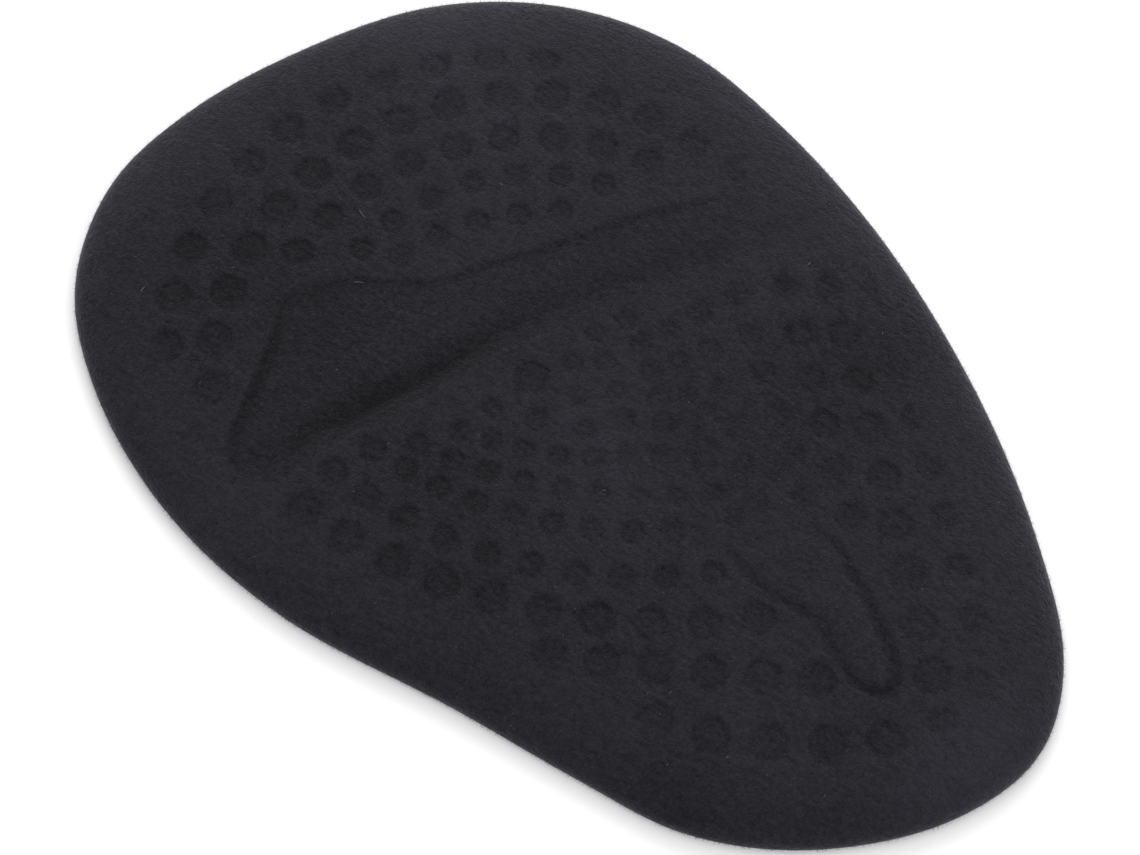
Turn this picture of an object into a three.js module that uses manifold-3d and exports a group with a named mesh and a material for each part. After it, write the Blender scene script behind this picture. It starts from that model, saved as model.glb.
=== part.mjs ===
// Gel forefoot pad with an embossed suede cover, for a right foot, seen from above.
//
// Millimetres, +Z up. The origin is on the surface that the pad lies on, under the middle of its
// outline. +X points to the broad end under the toes and +Y to the inner, hollowed side of the foot.

import * as THREE from 'three';
import Module from 'manifold-3d';

// Driving dimensions of the pad.
const PAD_LENGTH = 110;
const PAD_WIDTH = 73.2;
const PAD_THICKNESS = 4.6;
const SHOULDER_DROP = 0.6;
const SHOULDER_WIDTH = 9;

// The cover's wall, and the gap between the cover and the gel under it.
const COVER_THICKNESS = 1;
const SEAT_GAP = 0.3;

// Pressed dots. The widest dot gives the scale of all, and the dotted field keeps this border.
const DOT_DIAMETER = 4.1;
const DOT_DEPTH = 0.45;
const DOT_SIDES = 8;
const FIELD_BORDER = 7.3;

// Channel across the pad, whose ends rise over this length beyond its first and last sections, and the
// narrow groove round the tongue.
const CHANNEL_DEPTH = 1.1;
const CHANNEL_END_RISE = 0.6;
const GROOVE_WIDTH = 1.4;
const GROOVE_DEPTH = 0.5;

// How finely the curves are cut into flat faces.
const OUTLINE_STEPS = 56;
const CHANNEL_STEPS = 22;
const GROOVE_STEPS = 26;

// A cutter stands this far proud of the surface that it opens.
const CUTTER_PROUD = 0.5;

// The groove's flat floor is this share of its width. Where a lowered ring of the edge would stand less
// than the lowest step over the floor, it is left out.
const GROOVE_FLOOR = 0.6;
const LOWEST_STEP = 0.25;

// Outline of the pad from above, in percent of the length and of the width from the middle.
const OUTLINE = [
  { x: 49.9, y: 10.9 },
  { x: 46.5, y: 26.2 },
  { x: 38.2, y: 37.8 },
  { x: 25.8, y: 46.6 },
  { x: 11.8, y: 50.0 },
  { x: -5.6, y: 48.1 },
  { x: -18.3, y: 47.3 },
  { x: -28.6, y: 45.8 },
  { x: -38.2, y: 38.8 },
  { x: -46.8, y: 25.5 },
  { x: -50.0, y: 11.6 },
  { x: -47.3, y: -1.1 },
  { x: -38.6, y: -14.8 },
  { x: -26.8, y: -28.1 },
  { x: -11.8, y: -40.2 },
  { x: 2.7, y: -47.5 },
  { x: 14.5, y: -50.0 },
  { x: 25.9, y: -46.3 },
  { x: 36.4, y: -35.7 },
  { x: 44.4, y: -18.0 },
  { x: 48.5, y: -3.4 },
];

// Edge from the foot up to the shoulder: inset as a share of the shoulder's width, height as a share
// of the shoulder's height. The foot is tucked in a little under the widest line.
const EDGE = [
  { inset: 0.040, height: 0.000 },
  { inset: 0.000, height: 0.170 },
  { inset: 0.017, height: 0.330 },
  { inset: 0.080, height: 0.490 },
  { inset: 0.200, height: 0.650 },
  { inset: 0.380, height: 0.800 },
  { inset: 0.620, height: 0.915 },
  { inset: 1.000, height: 1.000 },
];

// Crown from the shoulder to the flat middle: each ring is the shoulder's ring shrunk to this share.
const CROWN = [0.7, 0.4];

// Channel across the pad, from the outer side to its wide head near the toes. Each row is one section:
// its left and right edge, in percent of the length and of the width from the middle.
const CHANNEL = [
  { leftX: -5.5, leftY: -33.4, rightX: 0.7, rightY: -35.6 },
  { leftX: -3.3, leftY: -24.7, rightX: 3.6, rightY: -29.9 },
  { leftX: 0.4, leftY: -17.1, rightX: 7.7, rightY: -22.7 },
  { leftX: 3.6, leftY: -10.8, rightX: 11.4, rightY: -14.6 },
  { leftX: 7.3, leftY: -2.9, rightX: 15.4, rightY: -7.0 },
  { leftX: 9.7, leftY: 4.6, rightX: 19.2, rightY: 0.3 },
  { leftX: 11.7, leftY: 11.6, rightX: 25.2, rightY: 6.1 },
  { leftX: 13.5, leftY: 17.7, rightX: 29.0, rightY: 12.5 },
  { leftX: 15.6, leftY: 23.5, rightX: 27.4, rightY: 21.2 },
  { leftX: 17.7, leftY: 29.5, rightX: 26.3, rightY: 28.2 },
  { leftX: 18.6, leftY: 35.3, rightX: 25.2, rightY: 34.4 },
  { leftX: 20.7, leftY: 37.5, rightX: 23.7, rightY: 37.5 },
];

// One section of the channel: across as a share of its width, depth as a share of the full depth.
// Two troughs run along the banks, and the floor between them is crowned. The first and the last row
// stand over the pad's surface, so the banks meet that surface at the channel's edges.
const CHANNEL_SECTION = [
  { across: -0.06, depth: -0.45 },
  { across: 0.10, depth: 0.70 },
  { across: 0.20, depth: 1.00 },
  { across: 0.50, depth: 0.50 },
  { across: 0.80, depth: 1.00 },
  { across: 0.90, depth: 0.70 },
  { across: 1.06, depth: -0.45 },
];

// Middle line of the groove that draws the tongue, in percent of the length and of the width.
const TONGUE = [
  { x: -15.5, y: 11.6 },
  { x: -17.7, y: 10.9 },
  { x: -19.7, y: 12.3 },
  { x: -22.8, y: 13.5 },
  { x: -26.1, y: 13.2 },
  { x: -28.6, y: 13.8 },
  { x: -31.1, y: 15.9 },
  { x: -33.6, y: 17.5 },
  { x: -35.8, y: 17.4 },
  { x: -36.7, y: 15.1 },
  { x: -35.4, y: 12.5 },
  { x: -32.6, y: 9.5 },
  { x: -30.4, y: 7.1 },
  { x: -28.0, y: 5.2 },
  { x: -25.9, y: 3.3 },
  { x: -23.2, y: 2.4 },
  { x: -20.6, y: 3.3 },
];

// Curved rows of dots. Ends are in percent of the length and of the width from the middle, the bow in
// percent of the width to the left of the way along the row, and the first and last diameter as shares
// of the widest dot's.
const DOT_ROWS = [
  // Toe field: arcs parallel to the broad end, from the outermost inwards.
  { fromX: 35.0, fromY: 28.0, toX: 23.4, toY: -36.2, bow: 14.8, count: 11, first: 0.92, last: 0.88 },
  { fromX: 29.2, fromY: 29.6, toX: 16.3, toY: -35.0, bow: 16.7, count: 12, first: 0.98, last: 0.94 },
  { fromX: 11.9, fromY: -36.4, toX: 2.6, toY: -36.2, bow: 0.4, count: 3, first: 0.88, last: 0.76 },
  { fromX: 30.5, fromY: 7.0, toX: 9.4, toY: -30.7, bow: 9.5, count: 9, first: 0.84, last: 0.86 },
  { fromX: 25.8, fromY: 2.0, toX: 11.4, toY: -24.3, bow: 5.5, count: 7, first: 0.70, last: 0.70 },
  { fromX: 22.5, fromY: -0.3, toX: 13.1, toY: -17.6, bow: 1.8, count: 5, first: 0.70, last: 0.70 },
  // Inner field: rows along the hollowed side, from the outermost inwards.
  { fromX: -38.7, fromY: 21.9, toX: -21.3, toY: 36.3, bow: 1.8, count: 5, first: 0.98, last: 0.98 },
  { fromX: -30.9, fromY: 20.2, toX: -10.3, toY: 36.4, bow: 0.4, count: 6, first: 0.98, last: 0.92 },
  { fromX: -23.6, fromY: 17.2, toX: 15.4, toY: 37.2, bow: 6.0, count: 10, first: 0.90, last: 0.95 },
  { fromX: -18.0, fromY: 15.2, toX: 15.4, toY: 30.8, bow: 5.6, count: 10, first: 0.68, last: 0.80 },
  { fromX: -12.8, fromY: 13.2, toX: 13.6, toY: 25.2, bow: 3.7, count: 9, first: 0.66, last: 0.72 },
  { fromX: -11.2, fromY: 8.7, toX: 10.5, toY: 21.4, bow: 2.3, count: 8, first: 0.58, last: 0.66 },
  { fromX: -7.9, fromY: 5.0, toX: 8.1, toY: 16.8, bow: 1.8, count: 7, first: 0.58, last: 0.64 },
  { fromX: 3.2, fromY: 9.7, toX: 7.1, toY: 11.6, bow: 0.0, count: 2, first: 0.66, last: 0.58 },
  // Outer field: rows from the narrow end to the channel, from the channel outwards.
  { fromX: -1.0, fromY: 7.5, toX: 3.6, toY: 0.2, bow: 0.0, count: 3, first: 0.62, last: 0.58 },
  { fromX: -3.4, fromY: 3.2, toX: 3.6, toY: -5.1, bow: 0.0, count: 4, first: 0.62, last: 0.58 },
  { fromX: -6.4, fromY: 1.3, toX: 2.1, toY: -9.1, bow: -1.0, count: 5, first: 0.66, last: 0.62 },
  { fromX: -11.4, fromY: 2.4, toX: -1.7, toY: -11.0, bow: 0.0, count: 5, first: 0.60, last: 0.60 },
  { fromX: -16.5, fromY: 6.8, toX: -14.0, toY: 5.6, bow: 0.0, count: 2, first: 0.60, last: 0.58 },
  { fromX: -17.4, fromY: 3.5, toX: -2.9, toY: -15.3, bow: 0.0, count: 6, first: 0.68, last: 0.68 },
  { fromX: -20.5, fromY: -0.8, toX: -4.7, toY: -20.5, bow: 0.0, count: 6, first: 0.72, last: 0.70 },
  { fromX: -24.9, fromY: -1.6, toX: -8.0, toY: -24.8, bow: 0.0, count: 6, first: 0.82, last: 0.82 },
  { fromX: -38.8, fromY: 11.3, toX: -11.2, toY: -28.6, bow: -0.4, count: 9, first: 1.00, last: 0.84 },
  { fromX: -39.0, fromY: 1.5, toX: -24.3, toY: -18.8, bow: 0.0, count: 5, first: 0.78, last: 0.78 },
  { fromX: -42.5, fromY: 9.0, toX: -42.0, toY: 15.9, bow: 0.0, count: 2, first: 0.80, last: 0.80 },
  // One wide dot by itself beside the channel.
  { fromX: 5.9, fromY: 5.0, toX: 5.9, toY: 5.0, bow: 0.0, count: 1, first: 0.96, last: 0.96 },
];

const SHOULDER_HEIGHT = PAD_THICKNESS - SHOULDER_DROP;
const PERCENT = 0.01;

const wasm = await Module();
wasm.setup();

function lengthShare(percent) {
  return percent * PERCENT * PAD_LENGTH;
}

function widthShare(percent) {
  return percent * PERCENT * PAD_WIDTH;
}

function flatCurve(points, closed) {
  const corners = points.map((p) => new THREE.Vector3(lengthShare(p.x), widthShare(p.y), 0));
  return new THREE.CatmullRomCurve3(corners, closed, 'centripetal');
}

// Points along the outline, evenly spaced, stretched so that the box is exactly length by width.
function outlinePoints() {
  const points = flatCurve(OUTLINE, true).getSpacedPoints(OUTLINE_STEPS).slice(0, OUTLINE_STEPS);
  const box = new THREE.Box3().setFromPoints(points);
  const middle = box.getCenter(new THREE.Vector3());
  const size = box.getSize(new THREE.Vector3());
  return points.map((p) => new THREE.Vector2(
    (p.x - middle.x) * PAD_LENGTH / size.x,
    (p.y - middle.y) * PAD_WIDTH / size.y,
  ));
}

const outline = outlinePoints();

// The outline moved inwards by one distance, square to itself.
function insetRing(inset) {
  return outline.map((point, i) => {
    const before = outline[(i + OUTLINE_STEPS - 1) % OUTLINE_STEPS];
    const after = outline[(i + 1) % OUTLINE_STEPS];
    const along = after.clone().sub(before).normalize();
    return new THREE.Vector2(point.x - along.y * inset, point.y + along.x * inset);
  });
}

const shoulderRing = insetRing(SHOULDER_WIDTH);

// How far a point lies inside the outline.
function edgeDistance(x, y) {
  let nearest = Infinity;
  for (let i = 0; i < OUTLINE_STEPS; i += 1) {
    const a = outline[i];
    const b = outline[(i + 1) % OUTLINE_STEPS];
    const length = b.distanceTo(a);
    const share = ((x - a.x) * (b.x - a.x) + (y - a.y) * (b.y - a.y)) / (length * length);
    const t = THREE.MathUtils.clamp(share, 0, 1);
    const gap = Math.hypot(a.x + (b.x - a.x) * t - x, a.y + (b.y - a.y) * t - y);
    nearest = Math.min(nearest, gap);
  }
  return nearest;
}

// How far out a point lies from the middle, as a share of the way to the shoulder's ring.
function crownShare(x, y) {
  const angle = Math.atan2(y, x);
  for (let i = 0; i < OUTLINE_STEPS; i += 1) {
    const a = shoulderRing[i];
    const b = shoulderRing[(i + 1) % OUTLINE_STEPS];
    const turnA = Math.sin(Math.atan2(a.y, a.x) - angle);
    const turnB = Math.sin(Math.atan2(b.y, b.x) - angle);
    if (turnA <= 0 && turnB > 0 && a.x * x + a.y * y > 0) {
      const reach = (a.x * b.y - a.y * b.x) / ((b.y - a.y) * Math.cos(angle) - (b.x - a.x) * Math.sin(angle));
      return Math.hypot(x, y) / reach;
    }
  }
  return 0;
}

// Height of the crown: it rises in a parabola from the shoulder's ring to the flat middle.
function crownHeight(share) {
  const flatShare = CROWN[CROWN.length - 1];
  const out = Math.max(share, flatShare);
  return SHOULDER_HEIGHT + SHOULDER_DROP * (1 - out * out) / (1 - flatShare * flatShare);
}

// Reads one column of the edge table at a value of another column.
function edgeColumn(value, known, wanted) {
  const rows = EDGE.slice(1);
  for (let i = 1; i < rows.length; i += 1) {
    if (value <= rows[i][known]) {
      const share = (value - rows[i - 1][known]) / (rows[i][known] - rows[i - 1][known]);
      return THREE.MathUtils.lerp(rows[i - 1][wanted], rows[i][wanted], Math.max(share, 0));
    }
  }
  return rows[rows.length - 1][wanted];
}

// Height of the cover's plain surface over the ground, before anything is pressed into it.
function surfaceHeight(x, y) {
  const inside = edgeDistance(x, y);
  if (inside >= SHOULDER_WIDTH) {
    return crownHeight(Math.min(crownShare(x, y), 1));
  }
  return edgeColumn(inside / SHOULDER_WIDTH, 'inset', 'height') * SHOULDER_HEIGHT;
}

// A solid from triangles that share their corners.
function solidFrom(corners, triangles) {
  const vertProperties = new Float32Array(corners.flat());
  const triVerts = new Uint32Array(triangles.flat());
  return new wasm.Manifold(new wasm.Mesh({ numProp: 3, vertProperties, triVerts }));
}

// Closes a ring of points with a fan of faces round its middle.
function fanCap(corners, start, count, facesUp) {
  const middle = [0, 1, 2].map((axis) => {
    const values = corners.slice(start, start + count).map((corner) => corner[axis]);
    return values.reduce((sum, value) => sum + value) / count;
  });
  corners.push(middle);
  const tip = corners.length - 1;
  return Array.from({ length: count }, (unused, i) => {
    const next = (i + 1) % count;
    return facesUp ? [tip, start + i, start + next] : [tip, start + next, start + i];
  });
}

// Closes a ring of points with faces that climb from its first edge to the opposite one.
function ladderCap(corners, start, count, facesUp) {
  const triangles = [];
  for (let i = 0; i < count / 2 - 1; i += 1) {
    const near = start + i;
    const far = start + count - 1 - i;
    triangles.push([near, near + 1, far], [near + 1, far - 1, far]);
  }
  return facesUp ? triangles : triangles.map((corner) => corner.reverse());
}

// A closed solid through rings of points, each counter-clockwise seen from the next one. A ring has
// as many points as the one before it, or half as many.
function solidFromRings(rings, cap) {
  const corners = rings.flat();
  const triangles = [];
  let start = 0;
  for (let r = 0; r + 1 < rings.length; r += 1) {
    const count = rings[r].length;
    const ratio = count / rings[r + 1].length;
    const above = start + count;
    for (let i = 0; i < count; i += 1) {
      const next = (i + 1) % count;
      const upper = above + Math.floor(i / ratio);
      const upperNext = above + Math.floor(next / ratio);
      triangles.push([start + i, start + next, upperNext]);
      if (upperNext !== upper) {
        triangles.push([start + i, upperNext, upper]);
      }
    }
    start = above;
  }
  const lastCount = rings[rings.length - 1].length;
  triangles.push(...cap(corners, 0, rings[0].length, false));
  triangles.push(...cap(corners, start, lastCount, true));
  return solidFrom(corners, triangles);
}

// The pad's domed form, moved inwards by inset and lowered by drop, standing on the height floor.
function dome(inset, drop, floor) {
  const ringAt = (distance, height) => insetRing(distance).map((p) => [p.x, p.y, height]);
  const rings = [];
  if (drop > 0) {
    const footInset = edgeColumn(drop / SHOULDER_HEIGHT, 'height', 'inset') * SHOULDER_WIDTH;
    rings.push(ringAt(inset + footInset, floor));
  }
  for (const row of EDGE) {
    const height = row.height * SHOULDER_HEIGHT - drop;
    if (drop === 0 || height > LOWEST_STEP) {
      rings.push(ringAt(inset + row.inset * SHOULDER_WIDTH, height));
    }
  }
  let ring = insetRing(inset + SHOULDER_WIDTH);
  for (const share of CROWN) {
    ring = ring.filter((unused, i) => i % 2 === 0);
    rings.push(ring.map((p) => [p.x * share, p.y * share, crownHeight(share) - drop]));
  }
  return solidFromRings(rings, ladderCap);
}

// What the channel takes away: its bed grown sideways by grown and lowered by drop, open to the top.
function channelCutter(grown, drop) {
  const edgeCurve = (side) => flatCurve(
    CHANNEL.map((row) => ({ x: row[`${side}X`], y: row[`${side}Y`] })),
    false,
  );
  const leftCurve = edgeCurve('left');
  const rightCurve = edgeCurve('right');
  const top = PAD_THICKNESS + CUTTER_PROUD;
  const rings = [];
  for (let step = 0; step <= CHANNEL_STEPS; step += 1) {
    const left = leftCurve.getPoint(step / CHANNEL_STEPS);
    const right = rightCurve.getPoint(step / CHANNEL_STEPS);
    const across = right.clone().sub(left).normalize();
    const atEnd = step === 0 || step === CHANNEL_STEPS;
    if (atEnd) {
      const outwards = new THREE.Vector3(-across.y, across.x, 0).multiplyScalar(step === 0 ? -1 : 1);
      outwards.multiplyScalar(grown + CHANNEL_END_RISE);
      left.add(outwards);
      right.add(outwards);
    }
    left.addScaledVector(across, -grown);
    right.addScaledVector(across, grown);
    const bed = CHANNEL_SECTION.map((column) => {
      const p = left.clone().lerp(right, column.across);
      const depth = CHANNEL_DEPTH * (atEnd ? CHANNEL_SECTION[0].depth : column.depth);
      return [p.x, p.y, surfaceHeight(p.x, p.y) - depth - drop];
    });
    const lid = [bed[0], bed[bed.length - 1]].map((p) => [p[0], p[1], top]);
    rings.push([...bed.reverse(), ...lid]);
  }
  return solidFromRings(rings, fanCap);
}

// What the groove round the tongue takes away: a band with sloping walls along the tongue's line.
function grooveCutter() {
  const line = flatCurve(TONGUE, false).getSpacedPoints(GROOVE_STEPS);
  const rings = line.map((point, i) => {
    const before = line[Math.max(i - 1, 0)];
    const after = line[Math.min(i + 1, GROOVE_STEPS)];
    const along = after.clone().sub(before).normalize();
    const base = surfaceHeight(point.x, point.y);
    const at = (side, height) => [
      point.x + along.y * side * GROOVE_WIDTH / 2,
      point.y - along.x * side * GROOVE_WIDTH / 2,
      base + height,
    ];
    return [
      at(GROOVE_FLOOR, -GROOVE_DEPTH),
      at(-GROOVE_FLOOR, -GROOVE_DEPTH),
      at(GROOVE_FLOOR - 2, GROOVE_DEPTH),
      at(2 - GROOVE_FLOOR, GROOVE_DEPTH),
    ];
  });
  return solidFromRings(rings, fanCap);
}

// Middles and radii of all dots, from the rows: each row is an arc through its two ends and its bow.
function dotPlaces() {
  return DOT_ROWS.flatMap((row) => {
    const from = new THREE.Vector2(lengthShare(row.fromX), widthShare(row.fromY));
    const to = new THREE.Vector2(lengthShare(row.toX), widthShare(row.toY));
    const chord = to.clone().sub(from);
    const bow = widthShare(row.bow);
    const half = 2 * Math.atan2(2 * bow, chord.length());
    return Array.from({ length: row.count }, (unused, i) => {
      const share = row.count > 1 ? i / (row.count - 1) : 0;
      let along = share;
      let aside = 0;
      if (bow !== 0) {
        const turn = half * (2 * share - 1);
        along = 0.5 + Math.sin(turn) / Math.sin(half) / 2;
        aside = (Math.cos(turn) - Math.cos(half)) / Math.sin(half) / 2;
      }
      return {
        x: from.x + chord.x * along - chord.y * aside,
        y: from.y + chord.y * along + chord.x * aside,
        radius: DOT_DIAMETER / 2 * THREE.MathUtils.lerp(row.first, row.last, share),
      };
    });
  });
}

// What the pressed dots take away, cut off along the border of the dotted field.
function dotCutter() {
  const border = insetRing(FIELD_BORDER);
  const levels = [0, PAD_THICKNESS * 2];
  const field = solidFromRings(levels.map((height) => border.map((p) => [p.x, p.y, height])), ladderCap);
  const pegs = dotPlaces().map((dot) => {
    const circle = Array.from({ length: DOT_SIDES }, (unused, i) => {
      const angle = 2 * Math.PI * (i + 0.5) / DOT_SIDES;
      return [dot.x + dot.radius * Math.cos(angle), dot.y + dot.radius * Math.sin(angle)];
    });
    const bottom = circle.map((p) => [...p, surfaceHeight(p[0], p[1]) - DOT_DEPTH]);
    const lid = circle.map((p) => [...p, surfaceHeight(dot.x, dot.y) + CUTTER_PROUD]);
    return solidFromRings([bottom, lid], ladderCap);
  });
  return pegs.reduce((all, peg) => all.add(peg)).intersect(field);
}

// A finished piece as a named mesh.
function piece(name, solid, material) {
  const mesh = solid.getMesh();
  const geometry = new THREE.BufferGeometry();
  geometry.setAttribute('position', new THREE.BufferAttribute(new Float32Array(mesh.vertProperties), 3));
  geometry.setIndex(new THREE.BufferAttribute(new Uint32Array(mesh.triVerts), 1));
  geometry.computeVertexNormals();
  const result = new THREE.Mesh(geometry, material);
  result.name = name;
  return result;
}

function suedeCover() {
  const cavity = dome(COVER_THICKNESS, COVER_THICKNESS, -CUTTER_PROUD)
    .subtract(channelCutter(COVER_THICKNESS, COVER_THICKNESS));
  const solid = dome(0, 0, 0)
    .subtract(channelCutter(0, 0))
    .subtract(grooveCutter())
    .subtract(dotCutter())
    .subtract(cavity);
  const material = new THREE.MeshStandardMaterial({ color: 0x2c2b30, roughness: 0.95, metalness: 0 });
  return piece('suede_cover', solid, material);
}

function gelBody() {
  const clear = COVER_THICKNESS + SEAT_GAP;
  const solid = dome(clear, clear, 0).subtract(channelCutter(clear, clear));
  const material = new THREE.MeshStandardMaterial({ color: 0x3a3d42, roughness: 0.25, metalness: 0 });
  return piece('gel_body', solid, material);
}

const pad = new THREE.Group();
pad.add(suedeCover(), gelBody());

export default pad;
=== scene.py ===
# %% [markdown]
# # A gel forefoot pad with an embossed suede cover
#
# The real thing is a flat cushion for the ball of the foot: a soft gel body under a black suede cover
# with a short nap. The cover is pressed over the gel, so that round dots, a wide channel and the line
# of a small tongue stand in it as low relief. Nothing on it moves, and nothing is sewn.
#
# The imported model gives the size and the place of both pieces. This file only dresses them: it makes a
# fine cover, a glossy gel underside and the loose nap, and sets the light and the camera.

# %% The frame
import math

import bpy
import bmesh
import numpy as np
from mathutils import Matrix, Vector, noise


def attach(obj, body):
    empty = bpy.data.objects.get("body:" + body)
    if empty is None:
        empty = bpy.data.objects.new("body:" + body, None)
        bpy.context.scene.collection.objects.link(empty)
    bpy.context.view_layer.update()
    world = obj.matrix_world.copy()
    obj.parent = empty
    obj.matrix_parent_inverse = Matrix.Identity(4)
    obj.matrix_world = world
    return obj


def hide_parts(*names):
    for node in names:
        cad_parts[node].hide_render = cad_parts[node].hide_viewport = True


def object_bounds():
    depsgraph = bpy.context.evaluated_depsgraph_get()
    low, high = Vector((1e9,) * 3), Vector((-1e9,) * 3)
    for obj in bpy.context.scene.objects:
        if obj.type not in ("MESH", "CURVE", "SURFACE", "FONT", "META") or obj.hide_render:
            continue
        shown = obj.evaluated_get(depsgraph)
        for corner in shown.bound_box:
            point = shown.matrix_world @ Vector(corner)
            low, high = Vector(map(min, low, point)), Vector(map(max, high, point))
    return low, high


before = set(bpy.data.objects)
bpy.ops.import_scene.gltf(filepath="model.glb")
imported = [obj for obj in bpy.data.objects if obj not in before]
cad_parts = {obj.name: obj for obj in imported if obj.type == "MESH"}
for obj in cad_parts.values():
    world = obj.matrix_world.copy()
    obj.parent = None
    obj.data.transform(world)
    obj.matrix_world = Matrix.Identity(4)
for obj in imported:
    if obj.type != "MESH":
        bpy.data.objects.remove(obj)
cad_low, cad_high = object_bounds()
print("the packed model is", [round(side * 1000, 1) for side in cad_high - cad_low], "mm")

# %% [markdown]
# ## Sizes
#
# Lengths are worked out in millimetres, because every detail here is a few tenths of one, and become
# metres only where a mesh is made. The overall size comes from the frame. The other sizes are those
# that the pad's own parts have: the cover's wall, the shoulder that rounds the edge, and the relief.

# %% Sizes
MM = 0.001

PAD_LENGTH, PAD_WIDTH, PAD_THICKNESS = [side / MM for side in cad_high - cad_low]
SHOULDER_WIDTH = 9.0
SHOULDER_DROP = 0.6
SHOULDER_HEIGHT = PAD_THICKNESS - SHOULDER_DROP
CROWN_REACH = 16.0
COVER_THICKNESS = 1.0
SEAT_GAP = 0.3

DOT_DIAMETER = 4.1
DOT_DEPTH = 0.14
DOT_WALL = 1.10
DOT_WALL_INSIDE = 0.65
SMALL_DOT_RADIUS = 1.6
DOT_MARGIN = 1.0
DOT_FIRMNESS = (0.62, 0.88)
DOT_TREND = 0.25

# Round one spot the nap is worn and the dots are fainter: its place, its reach and the share they lose.
WORN_SPOT = (-12.0, -2.0)
WORN_REACH = (23.0, 18.0)
WORN_SHARE = 0.60

FIELD_BORDER = 7.3
FIELD_FADE = 0.5

# A dot's nap lies flat as far as the inset from its edge, and stands again within the turn's width. A
# ring of painted shade runs round just inside the edge, in the dot's wall.
DOT_NAP_INSET = 0.40
DOT_NAP_TURN = 0.48
WALL_SHADE_INSET = 0.30
WALL_SHADE_REACH = 0.42

CHANNEL_DEPTH = 0.55
CHANNEL_BANK = 2.1
CHANNEL_NAP_TURN = 0.8

# How far the bank and the turn of the nap reach out over the charted line of the channel.
BANK_OUTSIDE = 0.1 * CHANNEL_BANK
NAP_OUTSIDE = CHANNEL_NAP_TURN / 3

LOWER_TROUGH_START = 0.8
LOWER_TROUGH = 4.4
UPPER_TROUGH_START = 0.3
UPPER_TROUGH = 2.9

# The groove reaches this share of its width to either side, and the gain more where it is firm.
GROOVE_WIDTH = 1.6
GROOVE_REACH = 0.45
GROOVE_GAIN = 0.25
GROOVE_DEPTH = 0.18
TONGUE_RISE = 0.12
TONGUE_INSET = 0.2
TONGUE_SHOULDER = 2.2

print("pad of", round(PAD_LENGTH, 1), "by", round(PAD_WIDTH, 1), "by", round(PAD_THICKNESS, 1), "mm")

# %% [markdown]
# ## The outline
#
# Seen from above the pad is an egg with one hollowed side, where the arch of the foot begins. A few
# listed points give it, in percent of the length and of the width from the middle, and a smooth
# curve runs through them. A centripetal curve is used because it never overshoots or makes a loop
# where two points lie close together.

# %% A smooth curve through a few points
OUTLINE = [
    (49.9, 10.9), (46.5, 26.2), (38.2, 37.8), (25.8, 46.6), (11.8, 50.0), (-5.6, 48.1), (-18.3, 47.3),
    (-28.6, 45.8), (-38.2, 38.8), (-46.8, 25.5), (-50.0, 11.6), (-47.3, -1.1), (-38.6, -14.8),
    (-26.8, -28.1), (-11.8, -40.2), (2.7, -47.5), (14.5, -50.0), (25.9, -46.3), (36.4, -35.7),
    (44.4, -18.0), (48.5, -3.4),
]


def in_mm(rows):
    """Points in percent of the length and of the width, as millimetres from the middle."""
    return np.array(rows, float) * (PAD_LENGTH / 100, PAD_WIDTH / 100)


LINE_SPACING = 0.5
CURVE_STEPS = 24


def smooth_curve(points, closed, spacing=LINE_SPACING):
    """Points spaced evenly along a centripetal curve. Further columns, such as a depth, go with them."""
    points = np.asarray(points, float)
    if closed:
        around = np.vstack([points[-1], points, points[0], points[1]])
    else:
        before = 2 * points[0] - points[1]
        after = 2 * points[-1] - points[-2]
        around = np.vstack([before, points, after])
    steps = np.linspace(0, 1, CURVE_STEPS, endpoint=False)[:, None]
    pieces = []
    for i in range(len(around) - 3):
        p0, p1, p2, p3 = around[i:i + 4]
        d0, d1, d2 = [math.sqrt(math.dist(a[:2], b[:2])) for a, b in ((p0, p1), (p1, p2), (p2, p3))]
        leave = ((p1 - p0) / d0 - (p2 - p0) / (d0 + d1) + (p2 - p1) / d1) * d1
        arrive = ((p2 - p1) / d1 - (p3 - p1) / (d1 + d2) + (p3 - p2) / d2) * d1
        bend = 2 * p1 - 2 * p2 + leave + arrive
        lift = -3 * p1 + 3 * p2 - 2 * leave - arrive
        pieces.append(((bend * steps + lift) * steps + leave) * steps + p1)
    line = np.vstack(pieces + [around[-2:-1]])
    along = np.concatenate([[0], np.cumsum(np.hypot(*np.diff(line[:, :2], axis=0).T))])
    count = max(int(round(along[-1] / spacing)), 4)
    at = np.linspace(0, along[-1], count + 1)
    even = np.stack([np.interp(at, along, column) for column in line.T], axis=1)
    return even[:-1] if closed else even


rim = smooth_curve(in_mm(OUTLINE), closed=True)
rim -= (rim.min(axis=0) + rim.max(axis=0)) / 2
rim *= (PAD_LENGTH, PAD_WIDTH) / (rim.max(axis=0) - rim.min(axis=0))
print("the rim is", round(len(rim) * LINE_SPACING), "mm round")

# %% [markdown]
# ## Measuring in the plan
#
# The relief is drawn by distance: how far a point lies inside the rim, inside the channel or from the
# tongue's line. One helper finds the nearest point of a line for many points at once. It gives the
# distance, and for a closed line a positive one inside and a negative one outside: a point is inside
# if a way straight to its right crosses the line an odd number of times.

# %% Distances to a line
BATCH = 4000


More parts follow.
